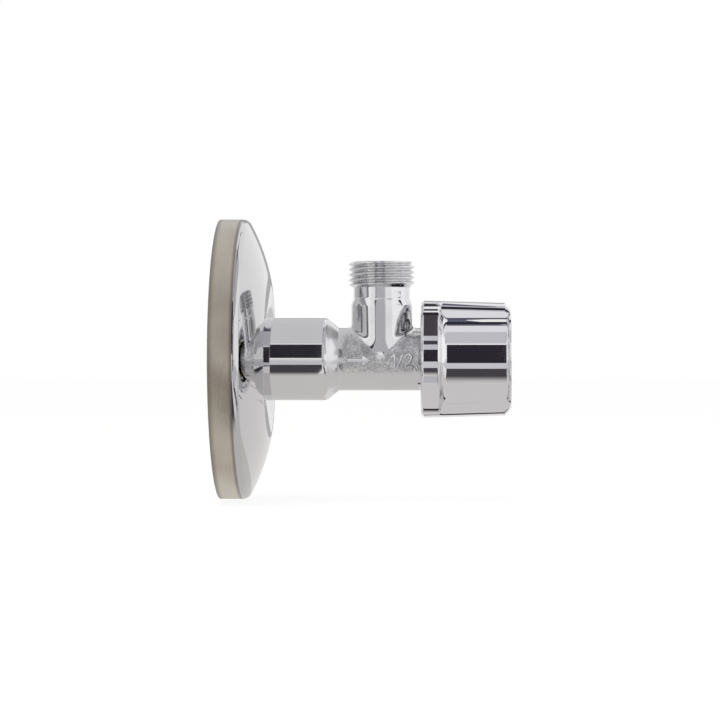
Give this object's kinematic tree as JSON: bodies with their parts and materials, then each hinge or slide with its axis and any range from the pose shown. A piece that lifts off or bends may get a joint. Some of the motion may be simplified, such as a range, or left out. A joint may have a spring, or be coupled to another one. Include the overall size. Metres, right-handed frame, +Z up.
{
  "type": "angle shut-off valve",
  "caption": "Chromed angle stop valve: threaded wall inlet behind a loose domed rosette, threaded outlet neck on top, and a ribbed knob on a rising spindle.",
  "frame": {"origin": "centre of the inlet's open end, on the valve axis", "axes": "+X along the valve axis from the wall towards the knob, +Z up through the outlet neck, +Y to the back so that the frame is right-handed"},
  "size_m": [0.0738, 0.071, 0.071],
  "materials": {
    "body_chrome": "chrome plate on cast and turned brass",
    "rosette_chrome": "polished dome with a brushed rim",
    "headwork_brass": "turned",
    "gasket_fibre": "pressed fibre",
    "seal_rubber": "moulded",
    "screw_steel": "bright",
    "knob_chrome": "mirror chrome plate on moulded plastic"
  },
  "bodies": {
    "valve": {"valve_body": "body_chrome", "bonnet": "headwork_brass", "bonnet_gasket": "gasket_fibre"},
    "rosette": {"wall_rosette": "rosette_chrome"},
    "clack": {"clack": "headwork_brass", "jumper_clip": "screw_steel", "seat_washer": "seal_rubber", "washer_screw": "headwork_brass"},
    "handle": {"spindle": "headwork_brass", "spindle_o_ring_inner": "seal_rubber", "spindle_o_ring_outer": "seal_rubber", "knob": "knob_chrome", "knob_screw": "screw_steel", "knob_cap": "knob_chrome"}
  },
  "joints": [
    {"name": "rosette_slide", "type": "slide", "parent": "valve", "child": "rosette", "axis": [1, 0, 0], "range_m": [0, 0.013]},
    {"name": "clack_lift", "type": "slide", "parent": "valve", "child": "clack", "axis": [1, 0, 0], "range_m": [0, 0.00451]},
    {"name": "knob_turn", "type": "hinge", "parent": "clack", "child": "handle", "pos_m": [0.06, 0, 0], "axis": [1, 0, 0], "range_deg": [0, 1080]}
  ],
  "couplings": [
    {"joint": "clack_lift", "follows": "knob_turn", "m_per_rad": 0.00023873}
  ]
}
